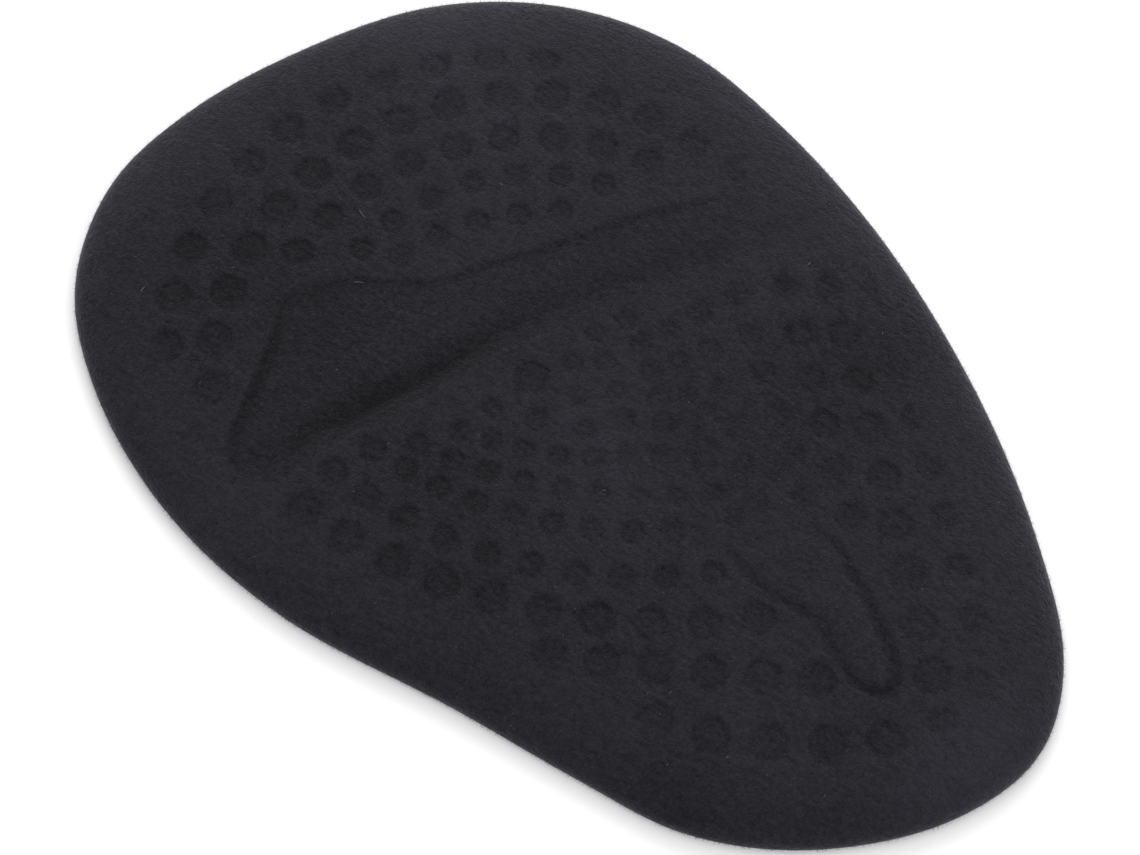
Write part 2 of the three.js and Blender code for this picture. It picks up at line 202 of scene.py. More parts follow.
def distance_to(line, points, closed):
    """Distance from each point to a line. Outside a closed line it is negative."""
    starts = line if closed else line[:-1]
    ends = np.roll(line, -1, axis=0) if closed else line[1:]
    runs = ends - starts
    squared = (runs ** 2).sum(axis=1)
    result = np.empty(len(points))
    for first in range(0, len(points), BATCH):
        some = points[first:first + BATCH]
        offset = some[:, None, :] - starts[None, :, :]
        share = np.clip((offset * runs).sum(axis=2) / squared, 0, 1)
        gap = offset - share[..., None] * runs
        squares = (gap ** 2).sum(axis=2)
        nearest = squares.argmin(axis=1)
        rows = np.arange(len(some))
        distance = np.sqrt(squares[rows, nearest])
        if closed:
            above = starts[:, 1] > some[:, None, 1]
            passes = above != (ends[:, 1] > some[:, None, 1])
            turn = runs[:, 0] * offset[..., 1] - runs[:, 1] * offset[..., 0]
            left = passes & ((turn > 0) != above)
            inside = left.sum(axis=1) % 2 == 1
            distance = np.where(inside, distance, -distance)
        result[first:first + BATCH] = distance
    return result


def smoothstep(value):
    """A soft step from 0 to 1, level at both ends."""
    value = np.clip(value, 0, 1)
    return value * value * (3 - 2 * value)


print("the middle lies", round(distance_to(rim, np.zeros((1, 2)), True)[0], 1), "mm inside the rim")

# %% [markdown]
# ## The cover's cage
#
# The cover is a shallow shell. Its cage starts as a circle whose points are moved to the rim at the
# foot of the edge. The ring is then extruded inwards row by row: out to the widest line, up the steep
# side and over the shoulder. Grid fill closes the middle with an even net of squares, which a later
# subdivision keeps even, while a fan of triangles would pinch at its centre.
#
# Each point of the ring knows its own number, kept in a layer that extrude copies, so that a new row
# can be put exactly where it belongs.

# %% Rings of the cage
RING_POINTS = 112
GRID_SPAN = 33
GRID_TURN = 14

# Rows of the outer skin, from the foot to the shoulder: inset from the rim, and height, in mm.
OUTER_ROWS = [
    (0.42, 0.00),
    (-0.14, 0.62),
    (0.16, 1.75),
    (1.55, 2.66),
    (4.20, 3.50),
    (SHOULDER_WIDTH, SHOULDER_HEIGHT),
]


def ring_of(inset):
    """The cage's ring of points, moved inwards from the rim by an inset."""
    stations = np.linspace(0, len(rim), RING_POINTS, endpoint=False)
    index = np.arange(len(rim) + 1)
    closed_rim = np.vstack([rim, rim[:1]])
    ring = np.stack([np.interp(stations, index, closed_rim[:, axis]) for axis in (0, 1)], axis=1)
    along = np.roll(ring, -1, axis=0) - np.roll(ring, 1, axis=0)
    along /= np.hypot(*along.T)[:, None]
    return ring + inset * np.stack([-along[:, 1], along[:, 0]], axis=1)


def deselect_all():
    """Leaves edit mode and selects nothing."""
    if bpy.context.mode != "OBJECT":
        bpy.ops.object.mode_set(mode="OBJECT")
    bpy.ops.object.select_all(action="DESELECT")


def points_of(piece):
    """The piece's points in millimetres, one row each."""
    flat = np.empty(len(piece.data.vertices) * 3)
    piece.data.vertices.foreach_get("co", flat)
    return flat.reshape(-1, 3) / MM


def move_points(piece, points):
    """Puts the piece's points where the rows say, in millimetres."""
    piece.data.vertices.foreach_set("co", (points * MM).ravel())
    piece.data.update()


def crown_height(points):
    """Height of the plain top inside the shoulder: it rises softly to a flat middle."""
    inside = distance_to(ring_of(SHOULDER_WIDTH), points, closed=True)
    climb = 1 - np.clip(inside / CROWN_REACH, 0, 1)
    return SHOULDER_HEIGHT + SHOULDER_DROP * (1 - climb * climb)


def make_shell(name, rows, drop):
    """A shell from rows of rings and a grid-filled top, as a new object, its top lowered by drop."""
    deselect_all()
    bpy.ops.mesh.primitive_circle_add(vertices=RING_POINTS, radius=PAD_WIDTH / 2 * MM)
    shell = bpy.context.object
    shell.name = name
    shell.data.name = name
    bpy.ops.object.mode_set(mode="EDIT")
    mesh = bmesh.from_edit_mesh(shell.data)
    station = mesh.verts.layers.int.new("station")
    mesh.verts.ensure_lookup_table()
    for number, vertex in enumerate(mesh.verts):
        vertex[station] = number
    for row, (inset, height) in enumerate(rows):
        if row > 0:
            bpy.ops.mesh.extrude_region_move()
            mesh = bmesh.from_edit_mesh(shell.data)
            station = mesh.verts.layers.int["station"]
        ring = ring_of(inset)
        for vertex in mesh.verts:
            if vertex.select:
                x, y = ring[vertex[station]]
                vertex.co = (x * MM, y * MM, height * MM)
        bmesh.update_edit_mesh(shell.data)
    bpy.ops.mesh.fill_grid(span=GRID_SPAN, offset=GRID_TURN, use_interp_simple=True)
    bpy.ops.object.mode_set(mode="OBJECT")
    points = points_of(shell)
    middle = distance_to(ring_of(rows[-1][0]), points[:, :2], closed=True) > 0.1
    points[middle, 2] = crown_height(points[middle, :2]) - drop
    move_points(shell, points)
    return shell


cover = make_shell("suede_pad", OUTER_ROWS, drop=0.0)
print("the cage has", len(cover.data.vertices), "points and", len(cover.data.polygons), "faces")

# %% [markdown]
# ## From cage to fine mesh
#
# A subdivision surface turns each face of the cage into a small net and rounds the edge on the way, as
# rubber over a form would. It is applied at once, because the relief is then worked into its points.
# Three levels give squares of about 0.3 mm, which is just fine enough for the wall of a dot.

# %% Subdivide the outer skin
def subdivide(piece, levels):
    """Applies a subdivision surface to a piece."""
    deselect_all()
    piece.select_set(True)
    bpy.context.view_layer.objects.active = piece
    modifier = piece.modifiers.new("Round", "SUBSURF")
    modifier.levels = levels
    modifier.render_levels = levels
    bpy.ops.object.modifier_apply(modifier=modifier.name)


subdivide(cover, levels=3)
size = np.ptp(points_of(cover), axis=0)
print("the skin has", len(cover.data.polygons), "faces and measures", size.round(2), "mm")

# %% [markdown]
# ## Where the relief lies
#
# All of the relief is charted in percent of the length and of the width: the two banks of the
# channel, the middle line of the groove that draws the tongue, and the curved rows of dots. The dots
# are widest along the edge and get smaller towards the middle.

# %% Chart of the channel and the tongue
# One row is one section of the channel, from its shallow end to its head: the lower bank, the upper bank,
# and the floor's depth beside the lower bank, in the middle and beside the upper bank, as shares.
CHANNEL = [
    ((-5.5, -33.4), (0.7, -35.6), (0.08, 0.05, 0.12)),
    ((-3.3, -24.7), (3.6, -29.9), (0.32, 0.16, 0.42)),
    ((0.4, -17.1), (7.7, -22.7), (0.44, 0.20, 0.48)),
    ((3.6, -10.8), (11.4, -14.6), (0.48, 0.20, 0.48)),
    ((7.3, -2.9), (15.4, -7.0), (0.52, 0.20, 0.47)),
    ((9.7, 4.6), (19.2, 0.3), (0.72, 0.22, 0.44)),
    ((11.7, 11.6), (25.2, 6.1), (0.94, 0.24, 0.40)),
    ((13.5, 17.7), (29.0, 12.5), (1.00, 0.22, 0.38)),
    ((15.6, 23.5), (27.4, 21.2), (0.96, 0.20, 0.68)),
    ((17.7, 29.5), (26.3, 28.2), (0.66, 0.20, 0.76)),
    ((18.6, 35.3), (25.2, 34.4), (0.46, 0.30, 0.66)),
    ((20.7, 37.5), (23.7, 37.5), (0.50, 0.42, 0.54)),
]

# The line of the groove that draws the tongue, and how firmly it is pressed there.
TONGUE = [
    (-17.7, 11.3, 0.3), (-19.7, 12.3, 0.6), (-22.8, 13.5, 0.8), (-26.1, 13.2, 0.8),
    (-28.6, 13.8, 0.8), (-31.1, 15.9, 0.9), (-33.6, 17.5, 0.9), (-35.8, 17.4, 1.0),
    (-36.7, 15.1, 1.0), (-35.4, 12.5, 1.0), (-32.6, 9.5, 1.0), (-30.4, 7.1, 0.9),
    (-28.0, 5.2, 0.8), (-25.9, 3.3, 0.6), (-23.2, 2.6, 0.3), (-22.0, 2.9, 0.1),
]

# %% Chart of the dots
# A row of dots runs from one end to the other, as an arc that bows to its left by a part of the width.
# The first and the last diameter are shares of the widest dot's.
# columns: from x, from y, to x, to y, bow, count, first, last
DOT_ROWS = [
    (35.0, 28.0, 23.4, -36.2, 14.8, 11, 0.92, 0.88),
    (29.2, 29.6, 16.3, -35.0, 16.7, 12, 0.98, 0.94),
    (11.9, -36.4, 2.6, -36.2, 0.4, 3, 0.88, 0.76),
    (30.5, 7.0, 9.4, -30.7, 9.5, 9, 0.84, 0.86),
    (25.8, 2.0, 11.4, -24.3, 5.5, 7, 0.70, 0.70),
    (22.5, -0.3, 13.1, -17.6, 1.8, 5, 0.70, 0.70),
    (-38.7, 21.9, -21.3, 36.3, 1.8, 5, 0.98, 0.98),
    (-30.9, 20.2, -10.3, 36.4, 0.4, 6, 0.98, 0.92),
    (-23.6, 17.2, 15.4, 37.2, 6.0, 10, 0.90, 0.95),
    (-18.0, 15.2, 15.4, 30.8, 5.6, 10, 0.68, 0.80),
    (-12.8, 13.2, 13.6, 25.2, 3.7, 9, 0.66, 0.72),
    (-11.2, 8.7, 10.5, 21.4, 2.3, 8, 0.58, 0.66),
    (-7.9, 5.0, 8.1, 16.8, 1.8, 7, 0.58, 0.64),
    (3.2, 9.7, 7.1, 11.6, 0.0, 2, 0.66, 0.58),
    (-1.0, 7.5, 3.6, 0.2, 0.0, 3, 0.62, 0.58),
    (-3.4, 3.2, 3.6, -5.1, 0.0, 4, 0.62, 0.58),
    (-6.4, 1.3, 2.1, -9.1, -1.0, 5, 0.66, 0.62),
    (-11.4, 2.4, -1.7, -11.0, 0.0, 5, 0.60, 0.60),
    (-16.5, 6.8, -14.0, 5.6, 0.0, 2, 0.60, 0.58),
    (-17.4, 3.5, -2.9, -15.3, 0.0, 6, 0.68, 0.68),
    (-20.5, -0.8, -4.7, -20.5, 0.0, 6, 0.72, 0.70),
    (-24.9, -1.6, -8.0, -24.8, 0.0, 6, 0.82, 0.82),
    (-38.8, 11.3, -11.2, -28.6, -0.4, 9, 1.00, 0.84),
    (-39.0, 1.5, -24.3, -18.8, 0.0, 5, 0.78, 0.78),
    (-42.5, 9.0, -42.0, 15.9, 0.0, 2, 0.80, 0.80),
    (5.9, 5.0, 5.9, 5.0, 0.0, 1, 0.96, 0.96),
]


def dots_of(row):
    """Middle and radius of each dot in a row, in millimetres."""
    from_x, from_y, to_x, to_y, bow, count, first, last = row
    start, end = in_mm([(from_x, from_y), (to_x, to_y)])
    chord = end - start
    aside = np.array([-chord[1], chord[0]])
    length = math.hypot(*chord)
    half = 2 * math.atan2(2 * bow / 100 * PAD_WIDTH, length) if length > 0 else 0
    for i in range(count):
        share = i / (count - 1) if count > 1 else 0
        along, lift = share, 0
        if half != 0:
            turn = half * (2 * share - 1)
            along = 0.5 + math.sin(turn) / math.sin(half) / 2
            lift = (math.cos(turn) - math.cos(half)) / math.sin(half) / 2
        middle = start + chord * along + aside * lift
        yield middle, DOT_DIAMETER / 2 * (first + (last - first) * share)


dots = [dot for row in DOT_ROWS for dot in dots_of(row)]
print(len(dots), "dots, the smallest", round(2 * min(radius for _, radius in dots), 1), "mm wide")

# %% [markdown]
# ## Press the relief into the skin
#
# The real relief is pressed by a warm mould, so its walls are soft slopes and its floors follow the
# surface. Booleans would cut hard walls and leave long thin faces. Here each point of the fine mesh
# is lowered by a depth instead, as a sculptor's brush would, and the depth is a soft step of the
# distance to each line. How flat the nap is pressed is also kept on the points, because flat nap looks
# darker. In the channel and the groove this share grows with the depth, so its darkening is partly
# painted shade in the troughs, and the ring in each dot's wall is painted shade as well. It turns
# within a narrower width than the wall of a dot or the bank of the channel has.

# %% Depth of the relief
def nearest_on(line, points):
    """Number of the line's point that lies nearest to each of the points."""
    result = np.empty(len(points), int)
    for first in range(0, len(points), BATCH):
        some = points[first:first + BATCH]
        squares = ((some[:, None, :] - line[None, :, :]) ** 2).sum(axis=2)
        result[first:first + BATCH] = squares.argmin(axis=1)
    return result


def channel_depth(points):
    """A trough along each bank, the lower one deeper, and a crowned floor between them.

    The second result says how flat the nap is pressed there; it grows with the depth and also paints shade
    in the troughs.
    """
    banks = []
    for which in (0, 1):
        places = in_mm([row[which] for row in CHANNEL])
        depths = [row[2] for row in CHANNEL]
        banks.append(smooth_curve(np.hstack([places, depths]), closed=False))
    lower, upper = banks
    border = np.vstack([upper, lower[::-1]])[:, :2]
    inside = distance_to(border, points, closed=True)
    to_lower = distance_to(lower[:, :2], points, closed=False)
    to_upper = distance_to(upper[:, :2], points, closed=False)
    across = to_lower / np.maximum(to_lower + to_upper, 1e-6)
    by_lower = lower[nearest_on(lower[:, :2], points)]
    by_upper = upper[nearest_on(upper[:, :2], points)]
    middle = by_lower[:, 3] + (by_upper[:, 3] - by_lower[:, 3]) * across
    lower_share = 1 - smoothstep((to_lower - LOWER_TROUGH_START) / LOWER_TROUGH)
    upper_share = 1 - smoothstep((to_upper - UPPER_TROUGH_START) / (UPPER_TROUGH * by_upper[:, 4]))
    floor = middle + (by_lower[:, 2] - middle) * lower_share + (by_upper[:, 4] - middle) * upper_share
    bank = smoothstep((inside + BANK_OUTSIDE) / CHANNEL_BANK)
    # The nap's darkening follows the floor's depth: partly pressed nap, partly painted shade in the
    # troughs.
    flattened = smoothstep((inside + NAP_OUTSIDE) / CHANNEL_NAP_TURN)
    return CHANNEL_DEPTH * bank * floor, flattened * floor


def tongue_depth(points):
    """A narrow groove along the tongue's line, and a slightly raised tongue inside it.

    The second result says how flat the nap is pressed in the groove, which also paints shade at its
    bottom.
    """
    places = in_mm([row[:2] for row in TONGUE])
    shares = [[row[2]] for row in TONGUE]
    line = smooth_curve(np.hstack([places, shares]), closed=False)
    beside = distance_to(line[:, :2], points, closed=False)
    inside = distance_to(line[:, :2], points, closed=True)
    firm = line[nearest_on(line[:, :2], points), 2]
    reach = GROOVE_WIDTH * (GROOVE_REACH + GROOVE_GAIN * firm)
    groove = firm * (1 - smoothstep(beside / reach))
    raised = smoothstep((inside - TONGUE_INSET) / TONGUE_SHOULDER)
    return GROOVE_DEPTH * groove - TONGUE_RISE * raised, groove


def dot_press(points, inside):
    """How far the dots press each point of their field, how flat its nap lies, and the painted shade in
    the dots' walls.
    """
    pressed = np.zeros(len(points))
    flattened = np.zeros(len(points))
    wall_shade = np.zeros(len(points))
    dice = np.random.default_rng(4)
    for middle, radius in dots:
        near = np.flatnonzero((np.abs(points - middle) < radius + DOT_MARGIN).all(axis=1))
        away = np.hypot(*(points[near] - middle).T)
        wall = DOT_WALL * min(1, radius / SMALL_DOT_RADIUS)
        press = 1 - smoothstep((away - radius + wall * DOT_WALL_INSIDE) / wall)
        turn = 1 - smoothstep((away - radius + DOT_NAP_INSET) / DOT_NAP_TURN)
        # Painted shade in the dot's wall: a ring just inside its edge.
        ring = 1 - smoothstep(np.abs(away - radius + WALL_SHADE_INSET) / WALL_SHADE_REACH)
        worn = 1 - smoothstep(np.hypot(*((middle - WORN_SPOT) / WORN_REACH)))
        firmness = min(dice.uniform(*DOT_FIRMNESS) + DOT_TREND * middle[0] / PAD_LENGTH, 1)
        firmness *= 1 - WORN_SHARE * worn
        pressed[near] = np.maximum(pressed[near], press * firmness)
        flattened[near] = np.maximum(flattened[near], turn * firmness)
        wall_shade[near] = np.maximum(wall_shade[near], ring * firmness)
    in_field = smoothstep((inside - FIELD_BORDER + FIELD_FADE) / FIELD_FADE)
    return pressed * in_field, flattened * in_field, wall_shade * in_field


skin = points_of(cover)
plan = skin[:, :2]
inside_rim = distance_to(rim, plan, closed=True)
pressed, dot_nap, dot_ring_shade = dot_press(plan, inside_rim)
sunk, channel_nap_and_shade = channel_depth(plan)
tongue, groove = tongue_depth(plan)
skin[:, 2] -= DOT_DEPTH * pressed + sunk + tongue
print("deepest point of the channel:", round(float(sunk.max()), 2), "mm")

# %% [markdown]
# ## Life in the skin
#
# A real cover is never true. It rises and falls a little where the glue holds more or less, and beside
# the channel's shallow end it has short creases that follow the rim. Both are noise with a
# fixed seed: a slow one all over, and one that is stretched along the rim for the creases. The troughs
# of the creases are darkened, which is painted shade. The nap's tone varies as well: it is blotchy
# round one spot, and wide patches are a little lighter or darker. Two bright patches are painted light,
# on the far rim and on the flank at the narrow end, and a small dark one is painted shade in the
# channel's trough.

# %% Slow waves and creases
WAVE_HEIGHT = 0.07
WIDE_WAVE = 9.0
SHORT_WAVE = 4.0
WAVE_MARGIN = 2.5
CREASE_HEIGHT = 0.15
CREASE_SIZE = (3.2, 0.95)
BLOTCH_SIZE = 1.1
RUMPLED_FROM = 0.1
FLANK_WAY = math.radians(-38)
CREASED_SPOT = np.array((-13.0, -18.5))
CREASED_REACH = np.array((17.0, 12.0))
ROUGH_SPOT = np.array((-12.5, -1.0))
ROUGH_REACH = np.array((14.0, 10.0))

# Patches of lighter or darker tone, a few of them painted light or shade: x and y in percent, reach in mm,
# change of tone.
TONE_AND_LIGHT_PATCHES = [
    (30, 13, 19, -0.22),
    (40, -12, 14, -0.12),
    # Painted shade in the channel's trough beside the lower bank.
    (16.5, 20.5, 5, -0.10),
    (7, 24, 10, -0.22),
    (0, 33, 8, -0.16),
    (-16, -15, 12, -0.14),
    (-1, 4, 10, 0.16),
    (44, 22, 12, -0.14),
    (-6, 12, 9, 0.14),
    (-5, -27, 7, 0.16),
    (-20, -30, 11, -0.26),
    (24, -26, 13, 0.14),
    (39, 10, 10, -0.10),
    # Painted light on the flank at the narrow end.
    (-48, 19, 15, 0.50),
    # Painted light on the far rim.
    (35, -35, 12, 0.30),
    (-28, 26, 13, 0.10),
    (-28, 44, 9, -0.16),
    (22, 44, 9, 0.14),
]


def noise_at(points, size, seed):
    """Smooth noise at each point. Size is the length of its features, one for x and y or one for each."""
    scaled = points / size
    return np.array([noise.noise((x, y, seed)) for x, y in scaled])


waves = noise_at(plan, WIDE_WAVE, seed=3.7) + 0.5 * noise_at(plan, SHORT_WAVE, seed=8.1)
turned = plan @ np.array([[math.cos(FLANK_WAY), -math.sin(FLANK_WAY)],
                          [math.sin(FLANK_WAY), math.cos(FLANK_WAY)]])
creases = noise_at(turned, CREASE_SIZE, seed=5.3)
blotches = noise_at(plan, BLOTCH_SIZE, seed=6.6)
spot = 1 - smoothstep(np.hypot(*((plan - CREASED_SPOT) / CREASED_REACH).T))
rough = 1 - smoothstep(np.hypot(*((plan - ROUGH_SPOT) / ROUGH_REACH).T))
patch_tone_and_light = np.zeros(len(plan))
for x, y, reach, change in TONE_AND_LIGHT_PATCHES:
    away = np.hypot(*(plan - in_mm([(x, y)])).T)
    patch_tone_and_light += change * (1 - smoothstep(away / reach))
level = smoothstep(inside_rim / WAVE_MARGIN)
skin[:, 2] += level * (WAVE_HEIGHT * waves + CREASE_HEIGHT * spot * creases)
move_points(cover, skin)

# Painted shade in the troughs of the creases, and a blotchy darker tone round one spot.
crease_shade_and_blotches = spot * np.maximum(RUMPLED_FROM - creases, 0) + rough * np.maximum(RUMPLED_FROM - blotches, 0)
nap_and_shade_shares = {"dot_nap": dot_nap, "dot_ring_shade": dot_ring_shade, "channel_nap_and_shade": channel_nap_and_shade, "groove_nap_and_shade": groove,
              "crease_shade_and_blotches": crease_shade_and_blotches, "patch_tone_and_light": patch_tone_and_light}
for name, values in nap_and_shade_shares.items():
    layer = cover.data.attributes.new(name, "FLOAT", "POINT")
    layer.data.foreach_set("value", values.astype(np.float32))
print("waves of", round(float(np.ptp(waves)) * WAVE_HEIGHT, 2), "mm from the lowest to the highest")

# %% [markdown]
# ## The cover's inner skin
#
# The cover is a real shell, about a millimetre thick, so it gets an inner skin as well. Nobody sees
# it but through the narrow gap at the foot, so it is coarse. It is made by the same helper from rows
# that lie about one wall further in and lower, and follows the channel. The two skins are joined and
# the gap between their lower rings is closed, which makes the cut edge of the cover. The outer ring has
# four points for each one of the inner ring, so the strip between them is made of small fans. Bridging
# would join such unlike rings across the whole pad.

# %% Inner skin and cut edge
# Rows of the inner skin, from the foot to the shoulder: inset from the rim, and height, in mm.
INNER_ROWS = [
    (1.42, 0.00),
    (1.05, 0.62),
    (1.45, 1.40),
    (2.60, 1.90),
    (5.20, 2.55),
    (9.60, 3.00),
]

lining = make_shell("lining", INNER_ROWS, drop=COVER_THICKNESS)
subdivide(lining, levels=1)
skin = points_of(lining)
skin[:, 2] -= channel_depth(skin[:, :2])[0]
move_points(lining, skin)


def open_rings(mesh):
    """The rings of open edges, each as its points in order, the ring with the most points first."""
    left = {edge for edge in mesh.edges if edge.is_boundary}
    rings = []
    while left:
        edge = min(left, key=lambda each: each.index)
        ring = [edge.verts[0]]
        while edge:
            left.remove(edge)
            ring.append(edge.other_vert(ring[-1]))
            edge = next((each for each in ring[-1].link_edges if each in left), None)
        rings.append(ring[:-1])
    return sorted(rings, key=len, reverse=True)


def goes_left(ring):
    """Whether a ring runs anticlockwise as seen from above."""
    places = np.array([point.co[:2] for point in ring])
    after = np.roll(places, -1, axis=0)
    return (places[:, 0] * after[:, 1] - places[:, 1] * after[:, 0]).sum() > 0


def close_between(fine, coarse, mesh):
    """A strip of triangles between a fine ring and a coarser one beside it."""
    if goes_left(fine) != goes_left(coarse):
        coarse = coarse[::-1]
    first = min(range(len(fine)), key=lambda i: (fine[i].co - coarse[0].co).length)
    fine = fine[first:] + fine[:first]
    beside = [round(i * len(coarse) / len(fine)) % len(coarse) for i in range(len(fine))]
    for i in range(len(fine)):
        after = (i + 1) % len(fine)
        near, next_near = coarse[beside[i]], coarse[beside[after]]
        mesh.faces.new((fine[i], fine[after], near))
        if near != next_near:
            mesh.faces.new((fine[after], next_near, near))


deselect_all()
lining.select_set(True)
cover.select_set(True)
bpy.context.view_layer.objects.active = cover
bpy.ops.object.join()
mesh = bmesh.new()
mesh.from_mesh(cover.data)
close_between(*open_rings(mesh), mesh)
mesh.to_mesh(cover.data)
mesh.free()
bpy.ops.object.mode_set(mode="EDIT")
bpy.ops.mesh.select_all(action="SELECT")
bpy.ops.mesh.normals_make_consistent(inside=False)
bpy.ops.object.mode_set(mode="OBJECT")
bpy.ops.object.shade_smooth_by_angle(angle=math.radians(50))


def open_edges(piece):
    """How many edges of a piece don't have exactly two faces, and its volume in cubic centimetres."""
    mesh = bmesh.new()
    mesh.from_mesh(piece.data)
    count = sum(len(edge.link_faces) != 2 for edge in mesh.edges)
    volume = mesh.calc_volume(signed=True)
    mesh.free()
    return count, round(volume / MM ** 3 / 1000, 2)


ends = points_of(cover)[np.array([edge.vertices[:] for edge in cover.data.edges])]
print("cover: open edges and volume in cm3:", open_edges(cover))
print("its longest edge is", round(float(np.linalg.norm(ends[:, 0] - ends[:, 1], axis=1).max()), 2), "mm")

# %% [markdown]
# ## The gel
#
# The gel is one soft body that fills the cover with a hair's breadth between them. From below it is
# the pad's whole sole, so its lower edge is rounded by two more rows, and its underside is closed by a
# second grid. Two levels of subdivision make it as smooth as a poured thing is.

# %% The gel body
# Rows of the gel, from the edge of its sole to the shoulder: inset from the rim, and height, in mm.
GEL_ROWS = [
    (3.20, 0.00),
    (2.30, 0.02),
    (1.78, 0.25),
    (1.80, 0.75),
    (2.75, 1.32),
    (5.60, 2.15),
    (9.90, 2.70),
]

gel = make_shell("gel_pad", GEL_ROWS, drop=COVER_THICKNESS + SEAT_GAP)
bpy.ops.object.mode_set(mode="EDIT")
bpy.ops.mesh.select_all(action="DESELECT")
bpy.ops.mesh.select_mode(type="EDGE")
bpy.ops.mesh.select_non_manifold(extend=False, use_wire=False, use_multi_face=False,
                                 use_non_contiguous=False, use_verts=False)
bpy.ops.mesh.fill_grid(span=GRID_SPAN, offset=GRID_TURN, use_interp_simple=True)
bpy.ops.mesh.select_all(action="SELECT")
bpy.ops.mesh.normals_make_consistent(inside=False)
bpy.ops.object.mode_set(mode="OBJECT")
subdivide(gel, levels=2)
skin = points_of(gel)
top = skin[:, 2] > 1.0
skin[top, 2] -= channel_depth(skin[top, :2])[0]
skin[:, 2] = np.maximum(skin[:, 2], 0)
move_points(gel, skin)
bpy.ops.object.shade_smooth()
print("gel: open edges and volume in cm3:", open_edges(gel))

# %% [markdown]
# ## Writing finishes as sums
#
# A finish is a small calculation: this noise times that mask, plus a little of another. Drawn as a net
# of nodes it is hard to read, so one small class lets Python's own signs add the Math nodes, and one
# method adds any other node. A finish then reads as the sum that it is.

# %% A shader value
class Shade:
    """One output of a node, which numbers and other outputs can be added to or multiplied by."""

    def __init__(self, tree, socket):
        self.tree = tree
        self.socket = socket

    def math(self, operation, first, second):
        """The result of one Math node."""
        return add_node(self.tree, "ShaderNodeMath", {"operation": operation}, {0: first, 1: second})

    def __add__(self, other):
        return self.math("ADD", self, other)

    def __radd__(self, other):
        return self.math("ADD", other, self)

    def __sub__(self, other):
        return self.math("SUBTRACT", self, other)

    def __mul__(self, other):
        return self.math("MULTIPLY", self, other)

    def __rmul__(self, other):
        return self.math("MULTIPLY", other, self)


def add_node(tree, kind, settings=None, inputs=None, output=0):
    """Adds a node, sets its settings, then its inputs as values or links, and gives one output."""
    node = tree.nodes.new(kind)
    for name, value in (settings or {}).items():
        setattr(node, name, value)
    for name, value in (inputs or {}).items():
        if isinstance(value, Shade):
            tree.links.new(value.socket, node.inputs[name])
        else:
            node.inputs[name].default_value = value
    return Shade(tree, node.outputs[output])


def new_finish(name):
    """A material with its node tree and its principled shader."""
    material = bpy.data.materials.new(name)
    material.use_nodes = True
    tree = material.node_tree
    return material, tree, tree.nodes["Principled BSDF"]


def per_mm(size):
    """The scale at which a texture's features are that many millimetres wide."""
    return 1 / (size * MM)


# %% [markdown]
# ## The suede
#
# Fine suede is a felt of very short fibres. It has no gloss: what light it gives back comes from the
# sides of the fibres, so it brightens where it is seen at a flat angle. The principled shader's sheen
# does just that. Over it lie several sizes of unevenness: the grain and the finer tufts, streaks where
# the nap was brushed, a mottle, and a slow drift over the pad. Where the dots, the channel and the
# groove are pressed the fibres lie flat and give less light. Painted shade is added on top of that in
# the channel's troughs, the groove, the dots' walls and the creases' troughs, and some patches of the
# tone are painted light or shade.

# %% Suede finish
def noise_node(tree, size, detail=2.0, roughness=0.5, stretch=(1, 1, 1), turn=0.0):
    """Noise whose features are size millimetres wide, stretched and turned about the vertical."""
    place = add_node(tree, "ShaderNodeTexCoord", output="Object")
    laid = add_node(tree, "ShaderNodeMapping", None,
                    {"Vector": place, "Rotation": (0, 0, turn), "Scale": stretch})
    return add_node(tree, "ShaderNodeTexNoise", None,
                    {"Vector": laid, "Scale": per_mm(size), "Detail": detail, "Roughness": roughness})


def share_of(tree, name):
    """A share that was kept on the points of the mesh."""
    return add_node(tree, "ShaderNodeAttribute", {"attribute_name": name}, output="Fac")


suede, tree, shader = new_finish("suede")
grain = noise_node(tree, 0.50, detail=3.0, roughness=0.7) - 0.5
tufts = noise_node(tree, 0.20, detail=2.0) - 0.5
brushed = noise_node(tree, 0.55, detail=2.0, stretch=(0.35, 1.0, 1.0), turn=math.radians(35)) - 0.5
mottle = noise_node(tree, 2.4, detail=3.0, roughness=0.6) - 0.5
drift = noise_node(tree, 15.0, detail=1.0) - 0.5
dots_flat = share_of(tree, "dot_nap")
dot_ring_shade = share_of(tree, "dot_ring_shade")
channel_flat_and_shade = share_of(tree, "channel_nap_and_shade")
groove_flat_and_shade = share_of(tree, "groove_nap_and_shade")
crease_shade_and_blotches = share_of(tree, "crease_shade_and_blotches")
patch_tone_and_light = share_of(tree, "patch_tone_and_light")
# Besides the pressed nap, the channel, groove, dot-wall and crease shares paint shade, and the patch tone
# partly paints light.
light = (0.94 + 1.9 * grain + 1.8 * tufts + 1.0 * brushed + 0.45 * mottle + 0.20 * drift
         - 0.42 * dots_flat - 0.30 * dot_ring_shade - 0.95 * channel_flat_and_shade - 0.62 * groove_flat_and_shade
         - 0.60 * crease_shade_and_blotches + 1.3 * patch_tone_and_light)
colour = add_node(tree, "ShaderNodeMix", {"data_type": "RGBA"},
                  {"Factor": light * 0.5, 6: (0.0, 0.0, 0.0, 1), 7: (0.0200, 0.0188, 0.0256, 1)}, output=2)
nap_height = 0.5 * grain + 0.3 * tufts + 0.3 * brushed + 0.25 * mottle
nap_bump = add_node(tree, "ShaderNodeBump", None,
                    {"Height": nap_height, "Strength": 1.0, "Distance": 0.25 * MM})
tree.links.new(colour.socket, shader.inputs["Base Color"])
tree.links.new(nap_bump.socket, shader.inputs["Normal"])
shader.inputs["Roughness"].default_value = 0.95
